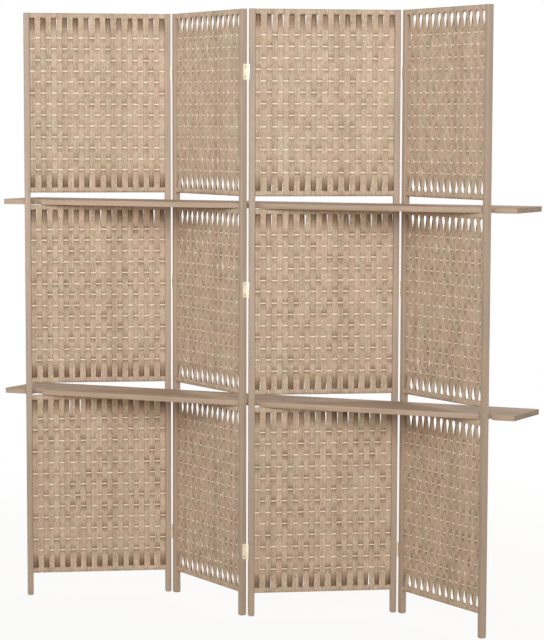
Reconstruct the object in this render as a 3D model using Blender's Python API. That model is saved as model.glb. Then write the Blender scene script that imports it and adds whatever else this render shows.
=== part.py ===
"""Folding screen of four woven panels with two long shelves laid through it.

The screen stands zigzag on its eight stiles. Each panel is two square stiles
joined by six rails, which frame three woven sections. Between the sections the
panel is open, and a long board passes through all four panels there and lies
on the rails below it. Three butt hinges join each pair of panels. Metres, +Z
up, front of the screen towards -Y.
"""

import math

import bmesh
import bpy
from mathutils import Matrix, Vector

# How far the screen is opened: the angle of every panel to the screen's line.
PANEL_ANGLE_DEG = 35.0
PANEL_COUNT = 4

# Panel frame.
PANEL_WIDTH = 0.451
PANEL_HEIGHT = 1.800
STILE_WIDTH = 0.018
STILE_DEPTH = 0.019
STILE_ROUND = 0.0022
STILE_TOP_EASE = 0.0015
FOOT_ROUND = 0.0045

# Rails: a flat wooden core with the cords of the infill wound round it.
RAIL_CORE_HEIGHT = 0.014
RAIL_CORE_DEPTH = 0.0145
WINDING = 0.0015
RAIL_EASE = 0.0012

# Heights up the panel. The upper section takes what is left below the top.
FOOT_HEIGHT = 0.0695
LOWER_SECTION = 0.5593
SHELF_OPENING = 0.0368
MIDDLE_SECTION = 0.5507

# Woven infill: flat strips run from rail to rail and are woven round thin rods.
STRIP_COUNT = 25
STRIP_CROWN = 0.0032
STRIP_EDGE = 0.0020
STRIP_THICKNESS = 0.0024
STRIP_SIDE = 0.0014
STRIP_NARROWING = 0.0005
FIRST_ROD_DROP = 0.0585
LAST_ROD_RISE = 0.0535

# Butt hinges. The middle one lies a little above the panel's middle.
HINGE_GAP = 0.003
PIN_STANDOFF = 0.00175
HINGE_HEIGHT = 0.046
LOWER_HINGE_RISE = 0.194
MIDDLE_HINGE_OFFSET = 0.078
UPPER_HINGE_DROP = 0.183
LEAF_THICKNESS = 0.0012
LEAF_WIDTH = 0.01575
LEAF_BED = 0.0005
BARREL_RADIUS = 0.0024
PIN_RADIUS = 0.0012
PIN_CLEARANCE = 0.0001
KNUCKLE_HEIGHT = 0.0154
KNUCKLE_GAP = 0.0003
KNUCKLE_CLEARANCE = 0.0004

# Shelf boards. The end notches are set in from the board's ends.
SHELF_LENGTH = 1.690
SHELF_DEPTH = 0.200
SHELF_THICKNESS = 0.016
SHELF_EASE = 0.0010
SHELF_SETBACK = 0.0039
SHELF_OFFSET = -0.0052
NOTCH_DEPTH = 0.027
END_NOTCH_WIDTH = 0.038
MIDDLE_NOTCH_WIDTH = 0.061
LEFT_NOTCH_INSET = 0.1129
MIDDLE_NOTCH_OFFSET = 0.0060
RIGHT_NOTCH_INSET = 0.0867
SHELF_PIVOT_SHARE = 0.9

# Gap between pieces that touch, and how far a cutter runs past what it cuts.
SEAT_GAP = 0.0003
OVERRUN = 0.002

CORNER_STEPS = 2
FOOT_STEPS = 2
BARREL_STEPS = 12
SMOOTH_ANGLE_DEG = 40.0

# Derived sizes.
ANGLE = math.radians(PANEL_ANGLE_DEG)
RAIL_HEIGHT = RAIL_CORE_HEIGHT + 2 * WINDING
RAIL_DEPTH = RAIL_CORE_DEPTH + 2 * WINDING
OPENING_WIDTH = PANEL_WIDTH - 2 * STILE_WIDTH
PIN_OFFSET = STILE_DEPTH / 2 + PIN_STANDOFF
LOWER_BASE = FOOT_HEIGHT
LOWER_TOP = LOWER_BASE + LOWER_SECTION
MIDDLE_BASE = LOWER_TOP + SHELF_OPENING
MIDDLE_TOP = MIDDLE_BASE + MIDDLE_SECTION
UPPER_BASE = MIDDLE_TOP + SHELF_OPENING
SECTIONS = {
    "lower": (LOWER_BASE, LOWER_TOP),
    "middle": (MIDDLE_BASE, MIDDLE_TOP),
    "upper": (UPPER_BASE, PANEL_HEIGHT),
}

HINGE_PLACES = {
    "bottom": LOWER_HINGE_RISE,
    "middle": PANEL_HEIGHT / 2 + MIDDLE_HINGE_OFFSET,
    "top": PANEL_HEIGHT - UPPER_HINGE_DROP,
}

# Colour, roughness and metallic value of each finish.
FINISHES = {
    "stile_wood": ((0.50, 0.40, 0.30, 1.0), 0.55, 0.0),
    "wound_cord": ((0.48, 0.38, 0.28, 1.0), 0.80, 0.0),
    "woven_strip": ((0.46, 0.36, 0.26, 1.0), 0.80, 0.0),
    "shelf_wood": ((0.47, 0.36, 0.27, 1.0), 0.50, 0.0),
    "hinge_brass": ((0.66, 0.52, 0.30, 1.0), 0.35, 1.0),
}


def clear_scene():
    """Remove every object that the file starts with."""
    for thing in list(bpy.data.objects):
        bpy.data.objects.remove(thing, do_unlink=True)


def make_materials():
    """Make one Principled material for each finish, by its name."""
    made = {}
    for name, (colour, roughness, metallic) in FINISHES.items():
        material = bpy.data.materials.new(name)
        material.use_nodes = True
        shader = material.node_tree.nodes["Principled BSDF"]
        shader.inputs["Base Color"].default_value = colour
        shader.inputs["Roughness"].default_value = roughness
        shader.inputs["Metallic"].default_value = metallic
        material.diffuse_color = colour
        made[name] = material
    return made


def finish_mesh(bm, name, material, smooth):
    """Turn a bmesh into a mesh with outward faces, a material and shading."""
    bmesh.ops.recalc_face_normals(bm, faces=bm.faces)
    mesh = bpy.data.meshes.new(name)
    bm.to_mesh(mesh)
    bm.free()
    mesh.materials.append(material)
    if smooth:
        mesh.shade_smooth()
        mesh.set_sharp_from_angle(angle=math.radians(SMOOTH_ANGLE_DEG))
    return mesh


def place(name, mesh, parent, location):
    """Link a named object with this mesh under its parent."""
    thing = bpy.data.objects.new(name, mesh)
    bpy.context.scene.collection.objects.link(thing)
    thing.parent = parent
    thing.location = location
    return thing


def make_empty(name, parent, location, turn):
    """Link an empty that carries the pieces which turn together."""
    empty = bpy.data.objects.new(name, None)
    bpy.context.scene.collection.objects.link(empty)
    empty.parent = parent
    empty.location = location
    empty.rotation_euler = (0.0, 0.0, turn)
    return empty


def hide_cutter(thing):
    """Keep a cutter or a joined helper out of the finished part."""
    thing.hide_render = True
    thing.display_type = "WIRE"


def combine(thing, other, operation):
    """Add an exact Boolean of another object to this one."""
    modifier = thing.modifiers.new(other.name, "BOOLEAN")
    modifier.operation = operation
    modifier.solver = "EXACT"
    modifier.object = other


def rounded_outline(width, depth, radius):
    """Points round a rectangle with rounded corners, about its centre."""
    points = []
    corners = ((1, 1, 0), (-1, 1, 90), (-1, -1, 180), (1, -1, 270))
    for side_x, side_y, start in corners:
        centre_x = side_x * (width / 2 - radius)
        centre_y = side_y * (depth / 2 - radius)
        for step in range(CORNER_STEPS + 1):
            turn = math.radians(start + 90 * step / CORNER_STEPS)
            points.append(
                (centre_x + radius * math.cos(turn), centre_y + radius * math.sin(turn))
            )
    return points


def loft(rings):
    """Skin closed rings of points, in order up the piece, and cap both ends."""
    bm = bmesh.new()
    rows = [[bm.verts.new(point) for point in ring] for ring in rings]
    count = len(rows[0])
    for below, above in zip(rows, rows[1:]):
        for i in range(count):
            j = (i + 1) % count
            bm.faces.new((below[i], below[j], above[j], above[i]))
    bm.faces.new(list(reversed(rows[0])))
    bm.faces.new(rows[-1])
    return bm


def stile_mesh(material):
    """A square stile with rounded corners, a rounded foot and an eased top."""
    outline = rounded_outline(STILE_WIDTH, STILE_DEPTH, STILE_ROUND)

    def ring(inset, height):
        shrink_x = 1 - inset / (STILE_WIDTH / 2)
        shrink_y = 1 - inset / (STILE_DEPTH / 2)
        return [(x * shrink_x, y * shrink_y, height) for x, y in outline]

    rings = []
    for step in range(FOOT_STEPS + 1):
        turn = math.radians(90 * step / FOOT_STEPS)
        rings.append(
            ring(FOOT_ROUND * (1 - math.sin(turn)), FOOT_ROUND * (1 - math.cos(turn)))
        )
    rings.append(ring(0, PANEL_HEIGHT - STILE_TOP_EASE))
    rings.append(ring(STILE_TOP_EASE, PANEL_HEIGHT))
    return finish_mesh(loft(rings), "stile", material, True)


def rail_mesh(material):
    """A rail across the opening, with eased long edges, from its lower left."""
    half = RAIL_DEPTH / 2
    section = [
        (-half + RAIL_EASE, 0),
        (half - RAIL_EASE, 0),
        (half, RAIL_EASE),
        (half, RAIL_HEIGHT - RAIL_EASE),
        (half - RAIL_EASE, RAIL_HEIGHT),
        (-half + RAIL_EASE, RAIL_HEIGHT),
        (-half, RAIL_HEIGHT - RAIL_EASE),
        (-half, RAIL_EASE),
    ]
    ends = (SEAT_GAP, OPENING_WIDTH - SEAT_GAP)
    rings = [[(x, y, z) for y, z in section] for x in ends]
    return finish_mesh(loft(rings), "rail", material, False)


def weave_mesh(name, height, material):
    """The woven infill between two rails, as one closed ribbed body.

    Between the first and the last rod the strips lie side by side. Past the
    outer rods they part: every second strip leans forward to the front of the
    rail and the others lean back to the back of it.
    """
    pitch = (OPENING_WIDTH - 2 * SEAT_GAP) / STRIP_COUNT
    reach = RAIL_DEPTH / 2 - STRIP_THICKNESS / 2
    bm = bmesh.new()

    def field_row(level):
        """Edge and crown vertices of all strips on the front and the back."""
        row = {"front": [], "back": []}
        for side, sign in (("front", -1), ("back", 1)):
            for i in range(STRIP_COUNT + 1):
                left = SEAT_GAP + i * pitch
                row[side].append(bm.verts.new((left, sign * STRIP_EDGE, level)))
                if i < STRIP_COUNT:
                    middle = left + pitch / 2
                    row[side].append(
                        bm.verts.new((middle, sign * STRIP_CROWN, level))
                    )
        return row

    low = field_row(LAST_ROD_RISE)
    high = field_row(height - FIRST_ROD_DROP)
    for side in ("front", "back"):
        for i in range(2 * STRIP_COUNT):
            bm.faces.new((low[side][i], low[side][i + 1], high[side][i + 1], high[side][i]))
    for i in (0, -1):
        bm.faces.new((low["front"][i], high["front"][i], high["back"][i], low["back"][i]))

    def strip_end(row, index, level):
        """One strip from the outer rod to the front or the back of the rail."""
        first = 2 * index
        root = row["front"][first : first + 3] + row["back"][first : first + 3][::-1]
        shift = reach if index % 2 == 0 else -reach
        left = SEAT_GAP + index * pitch + STRIP_NARROWING
        right = SEAT_GAP + (index + 1) * pitch - STRIP_NARROWING
        middle = (left + right) / 2
        tip = [
            bm.verts.new(point)
            for point in (
                (left, shift - STRIP_SIDE / 2, level),
                (middle, shift - STRIP_THICKNESS / 2, level),
                (right, shift - STRIP_SIDE / 2, level),
                (right, shift + STRIP_SIDE / 2, level),
                (middle, shift + STRIP_THICKNESS / 2, level),
                (left, shift + STRIP_SIDE / 2, level),
            )
        ]
        for i in range(len(tip)):
            j = (i + 1) % len(tip)
            bm.faces.new((root[i], root[j], tip[j], tip[i]))
        bm.faces.new(tip)

    for index in range(STRIP_COUNT):
        strip_end(low, index, SEAT_GAP)
        strip_end(high, index, height - SEAT_GAP)
    return finish_mesh(bm, name, material, True)


def leaf_outline(seat, bed, bed_from):
    """Plan of a hinge leaf with its rolled knuckle, as (out, along) pairs.

    Out is measured from the stile's end face towards the other panel, and along
    from the pin's axis across the stile. The leaf's back face lies at seat. A
    bed deeper than zero lets the leaf into the stile from bed_from onwards.
    """
    face = seat + LEAF_THICKNESS
    centre = HINGE_GAP / 2
    start = math.acos((face - centre) / BARREL_RADIUS)
    stop = math.acos(max((seat - centre) / BARREL_RADIUS, -1.0)) - 2 * math.pi
    points = [(seat - bed, LEAF_WIDTH), (face, LEAF_WIDTH)]
    for step in range(BARREL_STEPS + 1):
        turn = start + (stop - start) * step / BARREL_STEPS
        points.append(
            (centre + BARREL_RADIUS * math.cos(turn), BARREL_RADIUS * math.sin(turn))
        )
    if bed:
        points += [(seat, bed_from), (seat - bed, bed_from)]
    return points


def leaf_mesh(name, side, seat, bed, direction, material):
    """A full-height leaf about the pin's axis, before its knuckles are cut.

    Direction is 1 where the leaf's stile lies on the low side of the pin and
    -1 where it lies on the high side. Side is -1 for a pin in front of the
    panels and 1 for one behind them.
    """
    centre = HINGE_GAP / 2
    bed_from = PIN_STANDOFF + STILE_ROUND + LEAF_THICKNESS
    plan = [
        (direction * (out - centre), -side * along)
        for out, along in leaf_outline(seat, bed, bed_from)
    ]
    half = HINGE_HEIGHT / 2
    rings = [[(x, y, z) for x, y in plan] for z in (-half, half)]
    return finish_mesh(loft(rings), name, material, True)


def circle(radius, level):
    """Points of a circle round the vertical axis."""
    turns = [2 * math.pi * i / BARREL_STEPS for i in range(BARREL_STEPS)]
    return [(radius * math.cos(a), radius * math.sin(a), level) for a in turns]


def rod_mesh(name, radius, base, top, material):
    """A closed cylinder round the pin's axis."""
    return finish_mesh(loft([circle(radius, base), circle(radius, top)]), name, material, False)


def washer_mesh(name, outer, inner, base, top, material):
    """A ring of square section round the pin's axis."""
    bm = bmesh.new()
    section = ((inner, base), (outer, base), (outer, top), (inner, top))
    loops = [[bm.verts.new(point) for point in circle(r, z)] for r, z in section]
    for k in range(len(loops)):
        here, after = loops[k], loops[(k + 1) % len(loops)]
        for i in range(BARREL_STEPS):
            j = (i + 1) % BARREL_STEPS
            bm.faces.new((here[i], here[j], after[j], after[i]))
    return finish_mesh(bm, name, material, False)


def shelf_outline(front, back, left, right, notches):
    """Plan of a board with notches in its front edge, anticlockwise."""
    points = []
    for middle, width in notches:
        points += [
            (middle - width / 2, front),
            (middle - width / 2, front + NOTCH_DEPTH),
            (middle + width / 2, front + NOTCH_DEPTH),
            (middle + width / 2, front),
        ]
    return [(left, front)] + points + [(right, front), (right, back), (left, back)]


def shelf_mesh(outline, material):
    """A board extruded from its plan, with its edges eased."""
    bm = loft([[(x, y, z) for x, y in outline] for z in (0, SHELF_THICKNESS)])
    bmesh.ops.bevel(
        bm,
        geom=list(bm.edges),
        offset=SHELF_EASE,
        offset_type="OFFSET",
        segments=1,
        profile=0.5,
        affect="EDGES",
        material=-1,
        clamp_overlap=True,
    )
    return finish_mesh(bm, "shelf", material, False)


def panel_frames():
    """Places of the panels and of the pins between them.

    Returns the matrix of each panel, from its left end on its middle plane at
    the floor, and for each joint the pin's place and the side it lies on.
    """
    frames = [Matrix.Rotation(ANGLE, 4, "Z")]
    pins = []
    for index in range(1, PANEL_COUNT):
        side = -1 if index % 2 else 1
        pin = frames[-1] @ Vector((PANEL_WIDTH + HINGE_GAP / 2, side * PIN_OFFSET, 0))
        turn = Matrix.Rotation(-ANGLE if index % 2 else ANGLE, 4, "Z")
        own_pin = turn @ Vector((-HINGE_GAP / 2, side * PIN_OFFSET, 0))
        frames.append(Matrix.Translation(pin - own_pin) @ turn)
        pins.append((pin, side))
    return frames, pins


def stile_centre(frame, at_right):
    """Place on the floor under the middle of a panel's left or right stile."""
    middle = PANEL_WIDTH - STILE_WIDTH / 2 if at_right else STILE_WIDTH / 2
    return frame @ Vector((middle, 0, 0))


def stile_reach():
    """How far a turned stile reaches from its middle, forward or back."""
    across = STILE_WIDTH / 2 - STILE_ROUND
    through = STILE_DEPTH / 2 - STILE_ROUND
    return across * math.sin(ANGLE) + through * math.cos(ANGLE) + STILE_ROUND


def build():
    """Model the whole screen."""
    clear_scene()
    materials = make_materials()
    frames, pins = panel_frames()

    front_line = stile_centre(frames[0], False).y
    back_line = stile_centre(frames[0], True).y
    left_apex = stile_centre(frames[0], False).x
    right_apex = stile_centre(frames[-1], True).x
    shelf_middle = (left_apex + right_apex) / 2 + SHELF_OFFSET
    origin = Vector((shelf_middle, (front_line + back_line) / 2, 0))
    screen = make_empty("screen", None, -origin, 0)

    stile = stile_mesh(materials["stile_wood"])
    rail = rail_mesh(materials["wound_cord"])
    weaves = {
        section: weave_mesh(
            "weave_" + section, top - base - 2 * RAIL_HEIGHT, materials["woven_strip"]
        )
        for section, (base, top) in SECTIONS.items()
    }
    brass = materials["hinge_brass"]
    half_hinge = HINGE_HEIGHT / 2
    half_knuckle = KNUCKLE_HEIGHT / 2
    fixed_leaves = {
        side: leaf_mesh("fixed_leaf", side, 0, LEAF_BED, 1, brass) for side in (-1, 1)
    }
    moving_leaves = {
        side: leaf_mesh("moving_leaf", side, SEAT_GAP, 0, -1, brass) for side in (-1, 1)
    }
    recess = washer_mesh(
        "recess",
        BARREL_RADIUS + KNUCKLE_CLEARANCE,
        PIN_RADIUS,
        -half_knuckle - KNUCKLE_GAP,
        half_knuckle + KNUCKLE_GAP,
        brass,
    )
    bore = rod_mesh(
        "bore",
        PIN_RADIUS + PIN_CLEARANCE,
        -half_hinge - OVERRUN,
        half_hinge + OVERRUN,
        brass,
    )
    clearing_radius = BARREL_RADIUS + KNUCKLE_CLEARANCE
    below = rod_mesh(
        "below", clearing_radius, -half_hinge - OVERRUN, -half_knuckle, brass
    )
    above = rod_mesh(
        "above", clearing_radius, half_knuckle, half_hinge + OVERRUN, brass
    )

    # The second panel stands still and carries the others and the shelves.
    own_pins = [0, 0, 1, 2]
    for number, frame in enumerate(frames, 1):
        panel = "panel_%d" % number
        pin, side = pins[own_pins[number - 1]]
        turn = ANGLE if number % 2 else -ANGLE
        carrier = make_empty(panel + "_axis", screen, pin, turn)
        start = frame.inverted() @ pin

        def at(x, y, z):
            """A place in the panel, seen from its pin."""
            return (x - start.x, y - start.y, z)

        for position, at_right in (("left", False), ("right", True)):
            middle = PANEL_WIDTH - STILE_WIDTH / 2 if at_right else STILE_WIDTH / 2
            post = place(
                "%s_%s_stile" % (panel, position), stile, carrier, at(middle, 0, 0)
            )
            if not at_right or number == PANEL_COUNT:
                continue
            joint_side = pins[number - 1][1]
            post.data = stile.copy()
            post.data.materials.append(brass)
            for height_name, height in HINGE_PLACES.items():
                tag = "%d%d_%s" % (number, number + 1, height_name)
                where = at(
                    PANEL_WIDTH + HINGE_GAP / 2, joint_side * PIN_OFFSET, height
                )
                leaf = place("leaf_" + tag, fixed_leaves[joint_side], carrier, where)
                cutter = place("recess_" + tag, recess, carrier, where)
                hide_cutter(leaf)
                hide_cutter(cutter)
                combine(leaf, cutter, "DIFFERENCE")
                combine(post, leaf, "UNION")

        for section, (base, top) in SECTIONS.items():
            for position, level in (("bottom", base), ("top", top - RAIL_HEIGHT)):
                place(
                    "%s_%s_%s_rail" % (panel, section, position),
                    rail,
                    carrier,
                    at(STILE_WIDTH, 0, level),
                )
            place(
                "%s_%s_weave" % (panel, section),
                weaves[section],
                carrier,
                at(STILE_WIDTH, 0, base + RAIL_HEIGHT),
            )

        if number > 1:
            joint_side = pins[number - 2][1]
            for height_name, height in HINGE_PLACES.items():
                tag = "%d%d_%s" % (number - 1, number, height_name)
                where = at(-HINGE_GAP / 2, joint_side * PIN_OFFSET, height)
                leaf = place(
                    "hinge_%s_leaf" % tag, moving_leaves[joint_side], carrier, where
                )
                for label, mesh in (("bore", bore), ("below", below), ("above", above)):
                    cutter = place("%s_%s" % (label, tag), mesh, carrier, where)
                    hide_cutter(cutter)
                    combine(leaf, cutter, "DIFFERENCE")

    # The boards lie behind the front stiles and in front of the back ones.
    pivot = frames[1] @ Vector((PANEL_WIDTH * SHELF_PIVOT_SHARE, 0, 0))
    front = front_line + stile_reach() + SHELF_SETBACK
    left_end = shelf_middle - SHELF_LENGTH / 2
    right_end = shelf_middle + SHELF_LENGTH / 2
    notches = (
        (left_end + LEFT_NOTCH_INSET, END_NOTCH_WIDTH),
        (shelf_middle + MIDDLE_NOTCH_OFFSET, MIDDLE_NOTCH_WIDTH),
        (right_end - RIGHT_NOTCH_INSET, END_NOTCH_WIDTH),
    )
    plan = shelf_outline(front, front + SHELF_DEPTH, left_end, right_end, notches)
    board = shelf_mesh(
        [(x - pivot.x, y - pivot.y) for x, y in plan], materials["shelf_wood"]
    )
    for name, top in (("shelf_lower", LOWER_TOP), ("shelf_upper", MIDDLE_TOP)):
        place(name, board, screen, (pivot.x, pivot.y, top + SEAT_GAP))


build()
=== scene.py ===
"""Looks of the folding screen with woven panels and two long shelf boards."""

import logging
import math
import random
from dataclasses import dataclass, field
from enum import Enum
from typing import Sequence

import bmesh
import bpy
from bmesh.types import BMEdge, BMesh, BMVert
from bpy.types import Material, Mesh, Node, NodeSocket, NodeTree
from mathutils import Matrix, Vector


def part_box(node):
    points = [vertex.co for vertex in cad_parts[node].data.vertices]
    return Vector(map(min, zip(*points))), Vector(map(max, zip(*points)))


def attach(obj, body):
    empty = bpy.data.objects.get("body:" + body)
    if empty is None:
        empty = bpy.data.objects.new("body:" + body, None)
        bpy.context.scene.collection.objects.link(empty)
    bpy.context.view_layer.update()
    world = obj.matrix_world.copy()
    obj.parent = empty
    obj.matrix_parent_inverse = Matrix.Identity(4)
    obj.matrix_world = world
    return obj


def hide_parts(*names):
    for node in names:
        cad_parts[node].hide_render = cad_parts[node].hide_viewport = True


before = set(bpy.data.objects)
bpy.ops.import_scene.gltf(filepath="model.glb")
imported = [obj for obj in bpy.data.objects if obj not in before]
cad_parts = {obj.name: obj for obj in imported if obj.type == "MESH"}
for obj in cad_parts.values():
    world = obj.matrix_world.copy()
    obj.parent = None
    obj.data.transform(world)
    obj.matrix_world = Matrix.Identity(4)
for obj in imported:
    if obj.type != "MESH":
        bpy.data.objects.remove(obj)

LOG = logging.getLogger("folding_screen")
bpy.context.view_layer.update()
HARD_EDGE = 40.0
SAME_PLACE = 1e-5
SEAM_REACH = 1e-6
ON_RAIL = 0.999
INSIDE_STRIP = 0.998
FLAT_ANGLE, SHARP_ANGLE = 0.01, 0.5
MIX_FACTOR, MIX_FIRST_COLOUR, MIX_SECOND_COLOUR = 0, 6, 7
MIX_COLOUR_OUT = 2

Colour = tuple[float, float, float]
Point = tuple[float, float]
Place = tuple[float, float, float]
Row = tuple[float, float, float, float]

WHITE: Colour = (1.0, 1.0, 1.0)


class Side(Enum):
    """The face of the screen on which something lies."""

    FRONT = -1
    BACK = 1


class Grain(Enum):
    """The direction that wood grain runs in, as a scale on the pattern."""

    UPRIGHT = (260.0, 260.0, 5.0)
    LENGTHWISE = (4.0, 130.0, 130.0)


@dataclass(frozen=True)
class PanelSizes:
    """Sizes of one panel, in metres."""

    angle: float = math.radians(35.0)
    width: float = 0.451
    height: float = 1.800
    stile_width: float = 0.018
    stile_depth: float = 0.019
    stile_round: float = 0.0022
    foot_round: float = 0.0045
    top_ease: float = 0.0015
    round_steps: int = 5
    foot_steps: int = 4
    top_steps: int = 2
    rail_height: float = 0.017
    rail_depth: float = 0.0175
    rail_round: float = 0.0048
    rail_steps: int = 3
    rail_play: float = 0.0002
    winding: float = 0.0015
    foot_height: float = 0.0695
    lower_section: float = 0.5593
    opening: float = 0.0368
    middle_section: float = 0.5507

    @property
    def infill_width(self) -> float:
        """Width between the stiles."""
        return self.width - 2 * self.stile_width

    def sections(self) -> dict[str, Point]:
        """Bottom and top height of each framed section."""
        lower_top = self.foot_height + self.lower_section
        middle_base = lower_top + self.opening
        middle_top = middle_base + self.middle_section
        return {
            "lower": (self.foot_height, lower_top),
            "middle": (middle_base, middle_top),
            "upper": (middle_top + self.opening, self.height),
        }


@dataclass(frozen=True)
class HingeSizes:
    """Sizes of one butt hinge, in metres."""

    gap: float = 0.003
    standoff: float = 0.00175
    height: float = 0.046
    places: tuple[tuple[str, float], ...] = (
        ("bottom", 0.194),
        ("middle", 0.978),
        ("top", 1.617),
    )
    thickness: float = 0.0012
    width: float = 0.01575
    plate_round: float = 0.0012
    plate_steps: int = 3
    barrel_radius: float = 0.0024
    barrel_play: float = 0.0004
    barrel_ease: float = 0.0003
    barrel_sides: int = 24
    neck: float = 0.0010
    pin_radius: float = 0.0012
    pin_excess: float = 0.0012
    pin_sides: int = 16
    knuckle: float = 0.0154
    knuckle_gap: float = 0.0003
    seat_gap: float = 0.0003
    screw_radius: float = 0.0022
    screw_spacing: float = 0.030
    screw_place_share: float = 0.52
    screw_turn: float = 0.5
    screw_sides: int = 20
    screw_rings: int = 8
    dome_share: float = 0.22
    slot_half: float = 0.0003
    slot_bed_half: float = 0.00025
    slot_bed_share: float = 0.25


@dataclass(frozen=True)
class WeaveSizes:
    """Sizes and counts of the woven infill, in metres."""

    strips: int = 25
    cords: int = 5
    rods: int = 13
    rod_height: float = 0.0036
    rod_depth: float = 0.0009
    rod_sides: int = 12
    rod_play: float = 0.0006
    rod_drift: Point = (-0.0006, 0.0006)
    rod_tilt: Point = (-0.0012, 0.0012)
    overlap: float = 0.0014
    thickness: float = 0.0026
    groove: float = 0.0007
    first_drop: float = 0.0585
    last_rise: float = 0.0535
    side_play: float = 0.0002
    edge_share: float = 0.03
    edge_lift_share: float = 0.84
    bulge_power: float = 1.4
    rod_steps: tuple[float, ...] = (0.0, 0.22, 0.5, 0.78)
    rail_steps: int = 7
    turn_steps: int = 3


@dataclass(frozen=True)
class WeaveShades:
    """How much painted shade the strips carry, 0 to 1: in the slots beside the rails,
    on the rails' wraps, beside the rods, towards a strip's sides and in the creases.
    """

    # Painted shade in the slots by the rails, where the strips behind sink into shadow;
    # it rises from slot_start to slot_end of the way to the rail.
    slot_start: float = 0.06
    slot_end: float = 0.76
    slot_power: float = 0.75
    # On a rail's wrap the strips are a little darker all over, and carry painted shade
    # below the rail's middle, where the underside faces away from the light.
    rail_tone: float = 0.06
    rail_tone_below: float = 0.16
    # Painted shade beside each rod, where a strip dives behind it into shadow.
    rod_reach: float = 0.0080
    rod_near: float = 0.7
    rod_wide: float = 0.35
    rod_wide_factor: float = 5.0
    # Greatest painted shade beside a rod, by section: the lower sections get deeper
    # painted shadow, as if the light fell from above.
    rods: tuple[tuple[str, Point], ...] = (
        ("lower", (0.30, 1.05)),
        ("middle", (0.30, 1.00)),
        ("upper", (0.18, 0.80)),
    )
    # Painted shade is lighter in a strip's middle and darker towards its sides, where
    # the neighbouring strips shadow it.
    middle_share: float = 0.68
    side_power: float = 1.5
    # Painted shade in the grooves between cords and along a strip's two edges.
    groove: float = 0.22
    edge: float = 0.26


@dataclass(frozen=True)
class HabitRanges:
    """Limits between which the habit of a strip is drawn, bottom before top."""

    loose_near_rail: float = 0.18
    loose_elsewhere: float = 0.02
    rods_near_rail: int = 2
    loose_swing: Point = (1.2, 1.6)
    plain_swing: Point = (0.92, 1.10)
    # How deep the painted shade in the slots goes, at the bottom rail and at the top
    # rail.
    reach: tuple[Point, Point] = ((0.88, 1.06), (0.80, 1.06))
    lean: Point = (-0.0003, 0.0003)
    wander: Point = (0.0001, 0.0004)
    spread: tuple[Point, Point] = ((-0.07, 0.10), (-0.13, 0.06))
    push: tuple[Point, Point] = ((-0.0009, 0.0009), (-0.0012, 0.0012))
    waves: Point = (19.0, 47.0)
    second_wave: float = 0.6
    spread_rate: float = 2.4


@dataclass(frozen=True)
class ShelfSizes:
    """Notches and edge rounding of a shelf board, in metres."""

    left_inset: float = 0.1129
    right_inset: float = 0.0867
    middle_offset: float = 0.006
    end_notch: float = 0.038
    middle_notch: float = 0.061
    notch_depth: float = 0.027
    ease: float = 0.0013
    steps: int = 3


class Zigzag:
    """Places of the four panels and of the pins between them."""

    def __init__(self, panel: PanelSizes, hinge: HingeSizes) -> None:
        """Lay the panels out from left to right.

        Args:
            panel: Sizes of a panel.
            hinge: Sizes of a hinge.
        """
        self.panel = panel
        self.hinge = hinge
        offset = panel.stile_depth / 2 + hinge.standoff
        frames = [Matrix.Rotation(panel.angle, 4, "Z")]
        pins: list[tuple[Vector, Side]] = []
        for index in range(1, 4):
            side = Side.FRONT if index % 2 else Side.BACK
            across = side.value * offset
            pin = frames[-1] @ Vector((panel.width + hinge.gap / 2, across, 0))
            turn = Matrix.Rotation((-1) ** index * panel.angle, 4, "Z")
            own = turn @ Vector((-hinge.gap / 2, across, 0))
            frames.append(Matrix.Translation(pin - own) @ turn)
            pins.append((pin, side))
        low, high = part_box("panel_1_left_stile")
        left_stile = frames[0] @ Vector((panel.stile_width / 2, 0, 0))
        shift = Vector(((low[0] + high[0]) / 2, (low[1] + high[1]) / 2, 0)) - left_stile
        move = Matrix.Translation(shift)
        self.frames = [move @ matrix for matrix in frames]
        self.pins = [(pin + shift, side) for pin, side in pins]


def seeded(*parts: object) -> random.Random:
    """A random source that depends only on the names given."""
    return random.Random(" ".join(str(part) for part in parts))


def finish_piece(
    bm: BMesh,
    name: str,
    material: Material,
    body: str,
    replaces: Sequence[str] = (),
    hard_edge: float | None = HARD_EDGE,
) -> None:
    """Link a piece, dress it and tell the frame what it belongs to.

    Args:
        bm: The finished bmesh, in world coordinates.
        name: Name of the piece.
        material: Its finish.
        body: Body that it rides on.
        replaces: CAD nodes that it stands for.
        hard_edge: Edges sharper than this, in degrees, stay hard. None keeps
            all edges smooth.
    """
    mesh = bpy.data.meshes.new(name)
    bm.to_mesh(mesh)
    bm.free()
    mesh.shade_smooth()
    if hard_edge is not None:
        mesh.set_sharp_from_angle(angle=math.radians(hard_edge))
    mesh.materials.append(material)
    piece = bpy.data.objects.new(name, mesh)
    bpy.context.scene.collection.objects.link(piece)
    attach(piece, body)
    for node in replaces:
        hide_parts(node)
    LOG.info("%s rides on %s", name, body)


def everything(bm: BMesh) -> list:
    """All vertices, edges and faces of a mesh, for the operators that cut."""
    return list(bm.verts) + list(bm.edges) + list(bm.faces)


def round_edges(bm: BMesh, edges: Sequence[BMEdge], radius: float, steps: int) -> None:
    """Round some edges of a mesh.

    Args:
        bm: Mesh to change.
        edges: The edges to round.
        radius: Radius of the rounding.
        steps: Segments in the rounding.
    """
    bmesh.ops.bevel(
        bm,
        geom=list(edges),
        offset=radius,
        offset_type="OFFSET",
        segments=steps,
        profile=0.5,
        affect="EDGES",
        material=-1,
    )


def add_bar(
    bm: BMesh, sides: int, radius: float, length: float, matrix: Matrix
) -> list[BMVert]:
    """Add a closed round bar that runs along its own Z axis.

    Args:
        bm: Mesh to add to.
        sides: Number of its sides.
        radius: Its radius.
        length: Its length.
        matrix: Where it goes.

    Returns:
        The vertices of the bar.
    """
    return bmesh.ops.create_cone(
        bm,
        cap_ends=True,
        segments=sides,
        radius1=radius,
        radius2=radius,
        depth=length,
        matrix=matrix,
    )["verts"]


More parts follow.
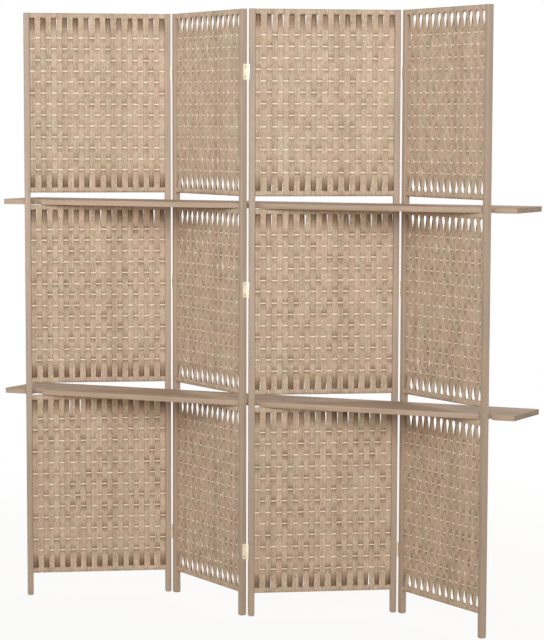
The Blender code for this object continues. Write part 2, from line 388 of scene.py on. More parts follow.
def rounded_box(
    size: tuple[float, float, float], radius: float, steps: int, axis: int
) -> BMesh:
    """A box about the origin whose four edges along one axis are rounded.

    Args:
        size: Size along X, Y and Z.
        radius: Radius of the long edges.
        steps: Segments in each rounding.
        axis: 0, 1 or 2, the axis that the rounded edges run along.

    Returns:
        A bmesh of the box.
    """
    bm = bmesh.new()
    bmesh.ops.create_cube(bm, size=1.0)
    bmesh.ops.scale(bm, vec=size, verts=bm.verts)
    long_edges = [
        edge
        for edge in bm.edges
        if abs(edge.verts[0].co[axis] - edge.verts[1].co[axis]) > size[axis] / 2
    ]
    round_edges(bm, long_edges, radius, steps)
    return bm


def round_end(bm: BMesh, level: float, radius: float, steps: int) -> None:
    """Round the edges of the end face that lies at a height.

    Args:
        bm: Mesh to change.
        level: Height of the end face.
        radius: Radius of the rounding.
        steps: Segments in the rounding.
    """
    rim = [
        edge
        for edge in bm.edges
        if all(abs(vert.co.z - level) < SAME_PLACE for vert in edge.verts)
    ]
    round_edges(bm, rim, radius, steps)


@dataclass(frozen=True)
class WoodFinish:
    """Painted wood with a fine grain."""

    name: str
    tint: Colour
    dark: Colour
    grain: Grain
    roughness: float = 0.50
    gloss: float = 0.35
    relief: float = 0.12
    relief_depth: float = 0.0004
    rosy: Colour = (1.03, 0.965, 0.97)
    rosy_share: float = 0.5
    rough_range: float = 0.10


@dataclass(frozen=True)
class CordFinish:
    """Paper cord, twisted, laid side by side in strips."""

    name: str = "woven_cord"
    light: Colour = (0.860, 0.690, 0.520)
    dark: Colour = (0.430, 0.320, 0.220)
    # The dark colour that the painted shade on the strips mixes towards, and the warmer
    # tint that it passes through.
    deep: Colour = (0.092, 0.038, 0.010)
    warm: Colour = (1.000, 0.945, 0.860)
    rosy: Colour = (1.020, 0.982, 1.000)
    green: Colour = (0.985, 1.012, 0.985)
    furrow: Colour = (0.93, 0.93, 0.93)
    cord_weight: float = 0.28
    strip_weight: float = 0.13
    fibre_weight: float = 0.37
    mottle_weight: float = 0.22
    fibre_scale: Place = (0.9, 110.0, 1.0)
    fibre_detail: float = 3.0
    fibre_limits: Point = (0.32, 0.68)
    twists_per_metre: float = 420.0
    # How strongly the painted shade in the shade attribute darkens the cords.
    shade_share: float = 0.94
    roughness: float = 0.75
    gloss: float = 0.1
    relief: float = 0.35
    relief_depth: float = 0.0004


@dataclass(frozen=True)
class MetalFinish:
    """Plated metal with faint tarnish."""

    name: str
    tint: Colour
    dark: Colour
    roughness: float
    rough_range: float = 0.12
    mottle_scale: float = 3.0


@dataclass(frozen=True)
class PlainFinish:
    """An even finish with slight mottling."""

    name: str
    tint: Colour
    dark: Colour
    roughness: float
    relief: float = 0.1
    relief_depth: float = 0.0003


@dataclass(frozen=True)
class GrainPattern:
    """Numbers of the pattern in the wood's grain."""

    fine_detail: float = 6.0
    fine_limits: Point = (0.35, 0.75)
    fine_share: float = 0.6
    broad_scale: float = 0.22
    broad_detail: float = 3.0
    broad_limits: Point = (0.3, 0.7)
    broad_share: float = 0.4


@dataclass(frozen=True)
class Patches:
    """One layer of soft patches: its name, scale, detail and limits."""

    name: str
    scale: float
    detail: float
    limits: Point


HAND_PATCHES = Patches("Broad", 7.0, 2.0, (0.35, 0.65))
THUMB_PATCHES = Patches("Patch", 15.0, 1.0, (0.40, 0.60))
FINGER_PATCHES = Patches("Fine", 38.0, 3.0, (0.35, 0.65))
STILE_PAINT = WoodFinish(
    "stile_paint", (0.455, 0.356, 0.263), (0.335, 0.254, 0.180), Grain.UPRIGHT
)
SHELF_PAINT = WoodFinish(
    "shelf_paint",
    (0.505, 0.388, 0.286),
    (0.340, 0.255, 0.180),
    Grain.LENGTHWISE,
    roughness=0.72,
    gloss=0.06,
)
RAIL_CORE = PlainFinish("rail_core", (0.800, 0.690, 0.560), (0.720, 0.600, 0.470), 0.50)
PEELED_ROD = PlainFinish(
    "peeled_rod", (0.950, 0.840, 0.700), (0.890, 0.770, 0.620), 0.50
)
HINGE_BRASS = MetalFinish("hinge_brass", (0.92, 0.87, 0.76), (0.83, 0.75, 0.59), 0.36)
SCREW_BRASS = MetalFinish("screw_brass", (0.55, 0.44, 0.27), (0.30, 0.22, 0.12), 0.38)


class Graph:
    """A small helper that adds nodes to one tree and joins them."""

    def __init__(self, tree: NodeTree) -> None:
        """Work on a node tree.

        Args:
            tree: Tree of a material or of a node group.
        """
        self.tree = tree

    def node(self, kind: str, **values: object) -> Node:
        """Add a node and set its properties by name."""
        made = self.tree.nodes.new(kind)
        for name, value in values.items():
            setattr(made, name, value)
        return made

    def join(self, start: NodeSocket, end: NodeSocket) -> None:
        """Link an output to an input."""
        self.tree.links.new(start, end)

    def feed(self, socket: NodeSocket, item: object) -> None:
        """Give an input a socket's output, a colour or a number."""
        if isinstance(item, NodeSocket):
            self.join(item, socket)
        elif isinstance(item, tuple):
            socket.default_value = (*item, 1.0)
        else:
            socket.default_value = item

    def value(self, operation: str, first: object, second: object = 0.0) -> NodeSocket:
        """Add a Math node on two sockets or numbers and return its output."""
        made = self.node("ShaderNodeMath", operation=operation)
        self.feed(made.inputs[0], first)
        self.feed(made.inputs[1], second)
        return made.outputs[0]

    def blend(self, *parts: tuple[NodeSocket, float]) -> NodeSocket:
        """Sum up some values, each times its weight."""
        total: object = 0.0
        for part, weight in parts:
            total = self.value("ADD", total, self.value("MULTIPLY", part, weight))
        return total

    def mix(
        self, mask: object, low: object, high: object, kind: str = "MIX"
    ) -> NodeSocket:
        """Mix two colours by a mask and return the colour."""
        made = self.node("ShaderNodeMix", data_type="RGBA", blend_type=kind)
        for socket, item in (
            (MIX_FACTOR, mask),
            (MIX_FIRST_COLOUR, low),
            (MIX_SECOND_COLOUR, high),
        ):
            self.feed(made.inputs[socket], item)
        return made.outputs[MIX_COLOUR_OUT]

    def times(self, first: NodeSocket, second: NodeSocket) -> NodeSocket:
        """Multiply two colours and return the colour."""
        return self.mix(1.0, first, second, "MULTIPLY")

    def noise(self, vector: NodeSocket, scale: float, detail: float) -> NodeSocket:
        """Add a noise pattern and return its value."""
        made = self.node("ShaderNodeTexNoise")
        made.inputs["Scale"].default_value = scale
        made.inputs["Detail"].default_value = detail
        self.join(vector, made.inputs["Vector"])
        return made.outputs["Fac"]

    def spread(self, value: NodeSocket, limits: Point) -> NodeSocket:
        """Spread a value between two limits out to 0 and 1."""
        made = self.node("ShaderNodeMapRange", interpolation_type="SMOOTHSTEP")
        made.inputs["From Min"].default_value = limits[0]
        made.inputs["From Max"].default_value = limits[1]
        self.join(value, made.inputs["Value"])
        return made.outputs["Result"]

    def scaled(self, vector: NodeSocket, scale: Sequence[float]) -> NodeSocket:
        """Stretch a coordinate with a Mapping node."""
        made = self.node("ShaderNodeMapping")
        made.inputs["Scale"].default_value = scale
        self.join(vector, made.inputs["Vector"])
        return made.outputs[0]


class Effects:
    """Node groups that more than one finish uses."""

    def __init__(self) -> None:
        """Build the groups once."""
        self.grain = self._grain(GrainPattern())
        self.mottle = self._mottle((HAND_PATCHES, THUMB_PATCHES, FINGER_PATCHES))

    @staticmethod
    def _group(name: str, outputs: Sequence[str]) -> tuple[NodeTree, NodeSocket, Node]:
        """Make an empty node group that takes a vector and gives values.

        Args:
            name: Name of the group.
            outputs: Name of each output.

        Returns:
            The group, its vector and its output node.
        """
        group = bpy.data.node_groups.new(name, "ShaderNodeTree")
        group.interface.new_socket(
            "Vector", in_out="INPUT", socket_type="NodeSocketVector"
        )
        for label in outputs:
            group.interface.new_socket(
                label, in_out="OUTPUT", socket_type="NodeSocketFloat"
            )
        vector = group.nodes.new("NodeGroupInput").outputs["Vector"]
        return group, vector, group.nodes.new("NodeGroupOutput")

    def _grain(self, pattern: GrainPattern) -> NodeTree:
        """Fine wood grain: a mask of dark lines and a height."""
        group, vector, end = self._group("wood_grain", ("Lines", "Height"))
        graph = Graph(group)
        fine = graph.noise(vector, 1.0, pattern.fine_detail)
        wide = graph.scaled(vector, (pattern.broad_scale,) * 3)
        broad = graph.noise(wide, 1.0, pattern.broad_detail)
        lines = graph.blend(
            (graph.spread(fine, pattern.fine_limits), pattern.fine_share),
            (graph.spread(broad, pattern.broad_limits), pattern.broad_share),
        )
        graph.join(lines, end.inputs["Lines"])
        graph.join(fine, end.inputs["Height"])
        return group

    def _mottle(self, layers: Sequence[Patches]) -> NodeTree:
        """Soft patches: a mask for each of some sizes of patch."""
        group, vector, end = self._group("soft_mottle", [item.name for item in layers])
        graph = Graph(group)
        for layer in layers:
            pattern = graph.noise(vector, layer.scale, layer.detail)
            graph.join(graph.spread(pattern, layer.limits), end.inputs[layer.name])
        return group


class Finishes:
    """All materials of the screen."""

    def __init__(self) -> None:
        """Build every material once."""
        self.effects = Effects()
        self.stile = self.wood(STILE_PAINT)
        self.board = self.wood(SHELF_PAINT)
        self.rail = self.plain(RAIL_CORE)
        self.rod = self.plain(PEELED_ROD)
        self.cord = self.cords(CordFinish())
        self.brass = self.metal(HINGE_BRASS)
        self.screw = self.metal(SCREW_BRASS)

    @staticmethod
    def _start(name: str) -> tuple[Material, Graph, Node]:
        """Make a material and return it with its graph and its shader."""
        material = bpy.data.materials.new(name)
        material.use_nodes = True
        tree = material.node_tree
        return material, Graph(tree), tree.nodes["Principled BSDF"]

    @staticmethod
    def _use(graph: Graph, group: NodeTree, vector: NodeSocket) -> Node:
        """Place a node group and feed it a coordinate."""
        made = graph.node("ShaderNodeGroup", node_tree=group)
        graph.join(vector, made.inputs["Vector"])
        return made

    @staticmethod
    def _bump(
        graph: Graph, shader: Node, height: NodeSocket, relief: float, depth: float
    ) -> None:
        """Feed a height to the shader's normal."""
        bump = graph.node("ShaderNodeBump")
        bump.inputs["Strength"].default_value = relief
        bump.inputs["Distance"].default_value = depth
        graph.join(height, bump.inputs["Height"])
        graph.join(bump.outputs["Normal"], shader.inputs["Normal"])

    @staticmethod
    def _rough(
        graph: Graph, shader: Node, mottle: Node, least: float, extent: float
    ) -> None:
        """Let the roughness rise from its least value with the fine patches."""
        spread = graph.value("MULTIPLY", mottle.outputs["Fine"], extent)
        graph.join(graph.value("ADD", spread, least), shader.inputs["Roughness"])

    def wood(self, finish: WoodFinish) -> Material:
        """Painted wood whose grain shows through a little."""
        material, graph, shader = self._start(finish.name)
        place = graph.node("ShaderNodeTexCoord").outputs["Object"]
        along = graph.scaled(place, finish.grain.value)
        grain = self._use(graph, self.effects.grain, along)
        mottle = self._use(graph, self.effects.mottle, place)
        base = graph.mix(grain.outputs["Lines"], finish.tint, finish.dark)
        rosy = tuple(a * b for a, b in zip(finish.tint, finish.rosy))
        patches = graph.value("MULTIPLY", mottle.outputs["Broad"], finish.rosy_share)
        graph.join(graph.mix(patches, base, rosy), shader.inputs["Base Color"])
        least = finish.roughness - finish.rough_range / 2
        self._rough(graph, shader, mottle, least, finish.rough_range)
        shader.inputs["Specular IOR Level"].default_value = finish.gloss
        height = grain.outputs["Height"]
        self._bump(graph, shader, height, finish.relief, finish.relief_depth)
        return material

    def plain(self, finish: PlainFinish) -> Material:
        """An even finish with soft patches."""
        material, graph, shader = self._start(finish.name)
        place = graph.node("ShaderNodeTexCoord").outputs["Object"]
        fine = self._use(graph, self.effects.mottle, place).outputs["Fine"]
        tone = graph.mix(fine, finish.tint, finish.dark)
        graph.join(tone, shader.inputs["Base Color"])
        shader.inputs["Roughness"].default_value = finish.roughness
        self._bump(graph, shader, fine, finish.relief, finish.relief_depth)
        return material

    def metal(self, finish: MetalFinish) -> Material:
        """Plated metal with faint tarnish."""
        material, graph, shader = self._start(finish.name)
        place = graph.node("ShaderNodeTexCoord").outputs["Object"]
        close = graph.scaled(place, (finish.mottle_scale,) * 3)
        mottle = self._use(graph, self.effects.mottle, close)
        tone = graph.mix(mottle.outputs["Fine"], finish.tint, finish.dark)
        graph.join(tone, shader.inputs["Base Color"])
        shader.inputs["Metallic"].default_value = 1.0
        self._rough(graph, shader, mottle, finish.roughness, finish.rough_range)
        return material

    @staticmethod
    def _random(graph: Graph, number: NodeSocket) -> NodeSocket:
        """A random value for each whole number below the one given."""
        made = graph.node("ShaderNodeTexWhiteNoise", noise_dimensions="1D")
        graph.join(graph.value("FLOOR", number), made.inputs["W"])
        return made.outputs["Value"]

    def cords(self, finish: CordFinish) -> Material:
        """Twisted paper cord, with a tone for each cord and each strip, darkened by the
        painted shade that the strips carry.
        """
        material, graph, shader = self._start(finish.name)
        coords = graph.node("ShaderNodeTexCoord")
        place, surface = coords.outputs["Object"], coords.outputs["UV"]
        parts = graph.node("ShaderNodeSeparateXYZ")
        graph.join(surface, parts.inputs[0])
        across, along = parts.outputs["X"], parts.outputs["Y"]
        strip = graph.value("DIVIDE", across, float(WeaveSizes.cords))
        fibre = graph.noise(
            graph.scaled(surface, finish.fibre_scale), 1.0, finish.fibre_detail
        )
        mottle = self._use(graph, self.effects.mottle, place)
        tone = graph.blend(
            (self._random(graph, across), finish.cord_weight),
            (self._random(graph, strip), finish.strip_weight),
            (graph.spread(fibre, finish.fibre_limits), finish.fibre_weight),
            (mottle.outputs["Fine"], finish.mottle_weight),
        )
        base = graph.mix(tone, finish.light, finish.dark)
        hue = graph.mix(mottle.outputs["Patch"], finish.rosy, finish.green)
        # Painted shade in the furrows of the twist: the colour darkens slightly where
        # the twist's bump is low.
        run = graph.value("MULTIPLY", along, finish.twists_per_metre)
        twist = graph.value("MULTIPLY", graph.value("ADD", run, across), 2 * math.pi)
        turns = graph.value("SINE", twist)
        twist_furrow_shade = graph.mix(graph.spread(turns, (-1.0, 1.0)), finish.furrow, WHITE)
        tinted = graph.times(graph.times(base, hue), twist_furrow_shade)
        # Painted shade: the strips' shade attribute warms the colour and mixes it
        # towards dark brown in the slots, beside the rods, under the rails and in the
        # creases.
        shade = graph.node("ShaderNodeAttribute", attribute_name="shade")
        depth = graph.value("MULTIPLY", shade.outputs["Fac"], finish.shade_share)
        warmed = graph.times(tinted, graph.mix(depth, WHITE, finish.warm))
        tone = graph.mix(depth, warmed, finish.deep)
        graph.join(tone, shader.inputs["Base Color"])
        shader.inputs["Roughness"].default_value = finish.roughness
        shader.inputs["Specular IOR Level"].default_value = finish.gloss
        self._bump(graph, shader, turns, finish.relief, finish.relief_depth)
        return material


@dataclass
class Stile:
    """One upright of a panel, with its rounded foot."""

    sizes: PanelSizes
    matrix: Matrix
    at_right: bool

    def mesh(self) -> BMesh:
        """Build the stile in its place."""
        size = self.sizes
        box = (size.stile_width, size.stile_depth, size.height)
        bm = rounded_box(box, size.stile_round, size.round_steps, 2)
        round_end(bm, -size.height / 2, size.foot_round, size.foot_steps)
        round_end(bm, size.height / 2, size.top_ease, size.top_steps)
        middle = size.stile_width / 2
        if self.at_right:
            middle = size.width - middle
        move = self.matrix @ Matrix.Translation((middle, 0, size.height / 2))
        bmesh.ops.transform(bm, matrix=move, verts=bm.verts)
        return bm


@dataclass
class Rail:
    """The wooden core of one rail."""

    sizes: PanelSizes
    matrix: Matrix
    base: float

    def mesh(self) -> BMesh:
        """Build the core in its place."""
        size = self.sizes
        height = size.rail_height - 2 * size.winding
        depth = size.rail_depth - 2 * size.winding
        box = (size.infill_width - size.rail_play, depth, height)
        bm = rounded_box(box, size.rail_round, size.rail_steps, 0)
        centre = (size.width / 2, 0, self.base + size.rail_height / 2)
        move = self.matrix @ Matrix.Translation(centre)
        bmesh.ops.transform(bm, matrix=move, verts=bm.verts)
        return bm


@dataclass(frozen=True)
class Station:
    """One place along a strip."""

    across: float
    level: float
    out: Point
    half: float
    run: float
    flare: float
    # Painted shade of the outer and of the inner face at this place.
    shade_outside: float
    shade_inside: float


@dataclass
class StripHabit:
    """How one strip departs from the regular weave."""

    ranges: HabitRanges
    swings: list[float]
    # Painted shade beside each rod, and how deep the painted slot shade goes at each
    # rail.
    shades: list[float]
    reach: list[float]
    lean: float
    wander: float
    phase: float
    spread: list[float]
    push: list[float]

    @classmethod
    def drawn(
        cls, source: random.Random, ranges: HabitRanges, rods: int, shades: Point
    ) -> "StripHabit":
        """Draw the habit of one strip from a random source.

        Args:
            source: Random source of the section.
            ranges: Limits of what is drawn.
            rods: Number of rods that the strip passes.
            shades: Least and greatest painted shade beside a rod.

        Returns:
            The strip's habit.
        """
        swings = []
        for rod in range(rods):
            near_rail = min(rod, rods - 1 - rod) < ranges.rods_near_rail
            chance = ranges.loose_near_rail if near_rail else ranges.loose_elsewhere
            loose = source.random() < chance
            limits = ranges.loose_swing if loose else ranges.plain_swing
            swings.append(source.uniform(*limits))
        return cls(
            ranges=ranges,
            swings=swings,
            shades=[source.uniform(*shades) for _ in range(rods)],
            reach=[source.uniform(*limits) for limits in ranges.reach],
            lean=source.uniform(*ranges.lean),
            wander=source.uniform(*ranges.wander),
            phase=source.uniform(0.0, 2 * math.pi),
            spread=[source.uniform(*limits) for limits in ranges.spread],
            push=[source.uniform(*limits) for limits in ranges.push],
        )

    def shift(self, level: float, flare: float, at_top: bool) -> float:
        """How far the strip's middle lies from its place, at a height."""
        long_wave, short_wave = self.ranges.waves
        wave = math.sin(self.phase + level * long_wave)
        short = math.sin(self.phase * 3 + level * short_wave)
        wave += self.ranges.second_wave * short
        return self.lean + self.wander * wave + self.push[at_top] * flare

    def stretch(self, flare: float, at_top: bool) -> float:
        """Factor on the strip's width, which changes between the rods and a rail."""
        if flare > ON_RAIL:
            return 1.0
        return 1.0 + self.spread[at_top] * min(self.ranges.spread_rate * flare, 1.0)


@dataclass
class WovenSection:
    """The strips and the rods between two rails."""

    panel: PanelSizes
    sizes: WeaveSizes
    shades: WeaveShades
    matrix: Matrix
    label: str
    base: float
    top: float
    source: random.Random = field(init=False)

    def __post_init__(self) -> None:
        """Seed the small irregularities of this section."""
        self.source = seeded("weave", self.label)

    def rod_levels(self) -> list[float]:
        """Heights of the rods, from the lowest up."""
        low = self.base + self.panel.rail_height + self.sizes.last_rise
        high = self.top - self.panel.rail_height - self.sizes.first_drop
        count = self.sizes.rods
        return [low + (high - low) * i / (count - 1) for i in range(count)]

    def _round_rail(
        self, level: float, way: int, side: Side
    ) -> list[tuple[float, float, Point]]:
        """Places of a strip round one rail, from the weave's side onwards.

        Args:
            level: Height of the rail's middle.
            way: 1 where the strip comes from below the rail, -1 from above.
            side: Face of the rail that the strip reaches first.

        Returns:
            Place across the panel, height and outward direction of each place.
        """
        panel, steps = self.panel, self.sizes.turn_steps
        half_depth = panel.rail_depth / 2 - panel.winding
        half_height = panel.rail_height / 2 - panel.winding
        radius = panel.rail_round
        reach = radius + panel.winding / 2
        places = []
        for across_hand, up_hand, start in (
            (side.value, way, 0.0),
            (-side.value, way, 90.0),
            (-side.value, -way, 180.0),
        ):
            across = across_hand * (half_depth - radius)
            height = level + up_hand * (half_height - radius)
            for step in range(steps + 1):
                turn = math.radians(start + 90.0 * step / steps)
                out = (side.value * math.cos(turn), way * math.sin(turn))
                places.append((across + out[0] * reach, height + out[1] * reach, out))
        return places

    def _swing(self, start: float, end: float, share: float) -> float:
        """Place across the panel between two rods, flat where the strips cross."""
        wave = math.cos(math.pi * share)
        bulge = math.copysign(abs(wave) ** self.sizes.bulge_power, wave)
        return (start + end) / 2 + (start - end) / 2 * bulge

    def _marks(self, side: Side, habit: StripHabit) -> list[Point]:
        """Height and place across of a strip at both rails and at each rod."""
        panel, sizes = self.panel, self.sizes
        swing = (sizes.rod_depth + sizes.thickness) / 2
        at_rail = side.value * (panel.rail_depth - panel.winding) / 2
        edge = panel.rail_height - panel.winding - panel.rail_round
        marks = [(self.base + edge, at_rail)]
        for index, level in enumerate(self.rod_levels()):
            hand = side.value if index % 2 else -side.value
            marks.append((level, hand * swing * habit.swings[index]))
        return marks + [(self.top - edge, at_rail)]

    def _free_rows(self, marks: Sequence[Point]) -> list[Row]:
        """Rows of a strip from the bottom rail's edge to the top rail's edge.

        Args:
            marks: Height and place across at both rails and at each rod.

        Returns:
            Place across, height, half the thickness and flare of each row.
        """
        sizes = self.sizes
        steps = sizes.rail_steps
        thin, full = self.panel.winding / 2, sizes.thickness / 2

        def between(low: Point, high: Point, share: float) -> Point:
            """Place across and height on a straight line."""
            across = low[1] + (high[1] - low[1]) * share
            return across, low[0] + (high[0] - low[0]) * share

        rows: list[Row] = []
        for step in range(steps):
            share = step / steps
            place = between(marks[0], marks[1], share)
            rows.append((*place, thin + (full - thin) * share, 1 - share))
        for low, high in zip(marks[1:-1], marks[2:-1]):
            for share in sizes.rod_steps:
                across = self._swing(low[1], high[1], share)
                rows.append((across, low[0] + (high[0] - low[0]) * share, full, 0.0))
        for step in range(steps + 1):
            share = step / steps
            place = between(marks[-2], marks[-1], share)
            rows.append((*place, full + (thin - full) * share, share))
        return rows

    def path(self, side: Side, habit: StripHabit) -> list[Station]:
        """Stations along one strip, from round the bottom rail to round the top.

        Args:
            side: Face of the rails that the strip runs over.
            habit: How the strip departs from the regular weave.

        Returns:
            The stations in order up the strip.
        """
        panel = self.panel
        thin = panel.winding / 2
        rows = self._free_rows(self._marks(side, habit))
        places: list[tuple[float, float, Point, float, float]] = []
        low_rail = self._round_rail(self.base + panel.rail_height / 2, -1, side)
        for across, level, out in reversed(low_rail[1:]):
            places.append((across, level, out, thin, 1.0))
        for index, (across, level, half, flare) in enumerate(rows):
            before = rows[max(index - 1, 0)]
            after = rows[min(index + 1, len(rows) - 1)]
            way = Vector((after[0] - before[0], after[1] - before[1])).normalized()
            out = (side.value * way.y, -side.value * way.x)
            places.append((across, level, out, half, flare))
        high_rail = self._round_rail(self.top - panel.rail_height / 2, 1, side)
        for across, level, out in high_rail[1:]:
            places.append((across, level, out, thin, 1.0))
        stations: list[Station] = []
        run = 0.0
        for index, (across, level, out, half, flare) in enumerate(places):
            if index:
                before = places[index - 1]
                run += math.hypot(across - before[0], level - before[1])
            outside, inside = self._shades(habit, level, flare)
            stations.append(
                Station(across, level, out, half, run, flare, outside, inside)
            )
        return stations

    def _shades(self, habit: StripHabit, level: float, flare: float) -> Point:
        """Painted shade on the strip's two faces: in the slots by the rails, on the
        rails' wraps and beside the rods.

        Args:
            habit: How the strip departs from the regular weave.
            level: Height on the strip.
            flare: 0 among the rods, rising to 1 at a rail.

        Returns:
            Painted shade of the outer face and of the inner face, 0 to 1.
        """
        shades = self.shades
        share = (flare - shades.slot_start) / (shades.slot_end - shades.slot_start)
        at_top = level > (self.base + self.top) / 2
        depth = min(habit.reach[at_top], 1.0)
        # Painted shade in the slot, on the inner face, deepening towards the rail.
        outside, inside = 0.0, depth * min(max(share, 0.0), 1.0) ** shades.slot_power
        # On the rail's wrap: a slight darkening all over, plus painted shade growing
        # below the rail's middle.
        if flare > ON_RAIL:
            half = self.panel.rail_height / 2
            rail = self.top - half if at_top else self.base + half
            below = max((rail - level) / half, 0.0)
            outside = shades.rail_tone + shades.rail_tone_below * below
        # Painted shade beside each rod, on the face that dives behind it.
        for index, rod in enumerate(self.rod_levels()):
            away = ((level - rod) / shades.rod_reach) ** 2
            near = shades.rod_near * math.exp(-away)
            near += shades.rod_wide * math.exp(-away / shades.rod_wide_factor)
            near *= habit.shades[index]
            if index % 2:
                inside = max(inside, near)
            else:
                outside = max(outside, near)
        return outside, inside

    def profile(self) -> list[tuple[float, float, bool]]:
        """Share of the width, share of the lift and if in a groove, across a strip."""
        sizes = self.sizes
        points = [(0.0, 0.0, False), (sizes.edge_share, sizes.edge_lift_share, False)]
        for cord in range(sizes.cords):
            points.append(((cord + 0.5) / sizes.cords, 1.0, False))
            if cord < sizes.cords - 1:
                points.append(((cord + 1) / sizes.cords, 1.0, True))
        points.append((1 - sizes.edge_share, sizes.edge_lift_share, False))
        return points + [(1.0, 0.0, False)]

    def add_strip(
        self, bm: BMesh, index: int, path: Sequence[Station], habit: StripHabit
    ) -> None:
        """Add one strip of cords to the section's mesh.

        A flat grid is rolled round the strip's section, one row of faces for
        each station, and its two long edges are joined.

        Args:
            bm: Mesh to add to.
            index: Number of the strip from the left.
            path: Stations along the strip.
            habit: How the strip departs from the regular weave.
        """
        sizes, shades = self.sizes, self.shades
        pitch = self.panel.infill_width / sizes.strips
        middle = self.panel.stile_width + (index + 0.5) * pitch
        profile = self.profile()
        last = len(profile) - 1
        around, along = 2 * last, len(path) - 1
        layer = bm.loops.layers.uv.verify()
        # Each vertex carries its painted shade in the shade attribute.
        shade = bm.verts.layers.float["shade"]
        grid = bmesh.ops.create_grid(
            bm, x_segments=around, y_segments=along, size=1.0
        )["verts"]
        places = {
            vert: tuple(
                round((part + 1) / 2 * count)
                for part, count in zip(vert.co, (around, along))
            )
            for vert in grid
        }
        centre = (self.base + self.top) / 2
        left_limit = self.panel.stile_width + sizes.side_play
        right_limit = self.panel.width - left_limit
        for face in {face for vert in grid for face in vert.link_faces}:
            for loop in face.loops:
                column, row = places[loop.vert]
                share = profile[min(column, around - column)][0]
                cord = sizes.cords * (index + share * INSIDE_STRIP)
                loop[layer].uv = (cord, path[row].run)
        for vert, (column, row) in places.items():
            station = path[row]
            front = column <= last or column == around
            share, lift, groove = profile[min(column, around - column)]
            reach = lift * station.half - (sizes.groove if groove else 0.0)
            if not front:
                reach = -reach
            at_top = station.level > centre
            width = (pitch + sizes.overlap) * habit.stretch(station.flare, at_top)
            x = middle + habit.shift(station.level, station.flare, at_top)
            x += (share - 0.5) * width
            vert.co = (
                min(max(x, left_limit), right_limit),
                station.across + station.out[0] * reach,
                station.level + station.out[1] * reach,
            )
            # Painted shade, lighter in the strip's middle and darker at its sides, and
            # painted shade in the grooves between cords and along the strip's edges.
            own = station.shade_outside if front else station.shade_inside
            aside = abs(2 * share - 1) ** shades.side_power
            own *= shades.middle_share + (1 - shades.middle_share) * aside
            crease_shade = shades.groove if groove else shades.edge if lift < 1.0 else 0.0
            vert[shade] = max(own, crease_shade)
        seam = [vert for vert, (column, _) in places.items() if column in (0, around)]
        bmesh.ops.remove_doubles(bm, verts=seam, dist=SEAM_REACH)

    def strips_mesh(self) -> BMesh:
        """Build all strips of the section in their place."""
        bm = bmesh.new()
        # The shade attribute holds the painted shade of each vertex.
        bm.verts.layers.float.new("shade")
        ranges, rods = HabitRanges(), self.sizes.rods
        # Least and greatest painted shade beside the rods, for this section.
        shades = dict(self.shades.rods)[self.label.rsplit("_", 1)[1]]
        for index in range(self.sizes.strips):
            side = Side.FRONT if index % 2 else Side.BACK
            habit = StripHabit.drawn(self.source, ranges, rods, shades)
            self.add_strip(bm, index, self.path(side, habit), habit)
        ends = [edge for edge in bm.edges if edge.is_boundary]
        bmesh.ops.holes_fill(bm, edges=ends, sides=0)
        bmesh.ops.recalc_face_normals(bm, faces=bm.faces)
        bmesh.ops.transform(bm, matrix=self.matrix, verts=bm.verts)
        return bm

    def rods_mesh(self) -> BMesh:
        """Build the thin flat rods that the strips are woven round."""
        bm = bmesh.new()
        sizes = self.sizes
        length = self.panel.infill_width - sizes.rod_play
        flat = Matrix.Diagonal((sizes.rod_height / 2, sizes.rod_depth / 2, 1.0, 1.0))
        lay = Matrix.Rotation(math.pi / 2, 4, "Y")
        for level in self.rod_levels():
            drift = self.source.uniform(*sizes.rod_drift)
            tilt = Matrix.Rotation(self.source.uniform(*sizes.rod_tilt), 4, "Y")
            move = Matrix.Translation((self.panel.width / 2, 0, level + drift))
            place = self.matrix @ move @ tilt @ lay @ flat
            add_bar(bm, sizes.rod_sides, 1.0, length, place)
        return bm


